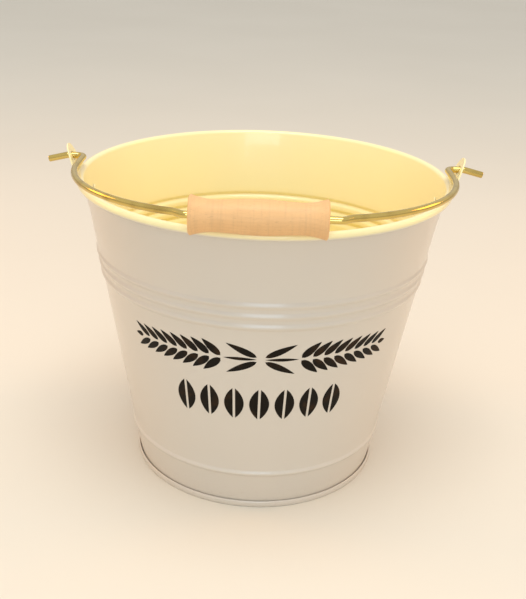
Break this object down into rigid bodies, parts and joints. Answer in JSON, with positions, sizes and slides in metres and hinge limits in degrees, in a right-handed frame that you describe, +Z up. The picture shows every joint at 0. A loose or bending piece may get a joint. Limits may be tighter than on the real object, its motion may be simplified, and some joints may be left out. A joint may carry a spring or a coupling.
{
  "type": "feed pail",
  "caption": "Tapered painted-steel feed pail with a wired rim, swaged ribs, riveted ears and a folding brass bail with a turned wooden grip.",
  "frame": {"origin": "centre of the foot ring, in the plane that the pail stands on", "axes": "+Z up along the pail's axis, +X through the right ear, -Y towards the side that the bail is folded down over"},
  "size_m": [0.3382, 0.304, 0.2664],
  "materials": {
    "enamel": "gloss cream paint over steel sheet, stoved",
    "brass": "bright drawn wire",
    "wood": "turned, unvarnished",
    "steel": "plain drawn wire"
  },
  "bodies": {
    "pail": {"bucket_wall": "enamel", "bottom_pan": "enamel", "rim_wire": "steel", "ear_left": "enamel", "ear_right": "enamel", "rivet_left_front": "enamel", "rivet_left_back": "enamel", "rivet_right_front": "enamel", "rivet_right_back": "enamel"},
    "bail": {"bail_wire": "brass"},
    "grip": {"wooden_grip": "wood"}
  },
  "joints": [
    {"name": "bail_swing", "type": "hinge", "parent": "pail", "child": "bail", "pos_m": [0, 0, 0.25], "axis": [-1, 0, 0], "range_deg": [0, 177.3]},
    {"name": "grip_spin", "type": "hinge", "parent": "bail", "child": "grip", "pos_m": [-0.0028, -0.146, 0.25335], "axis": [1, 0, 0], "continuous": true}
  ]
}
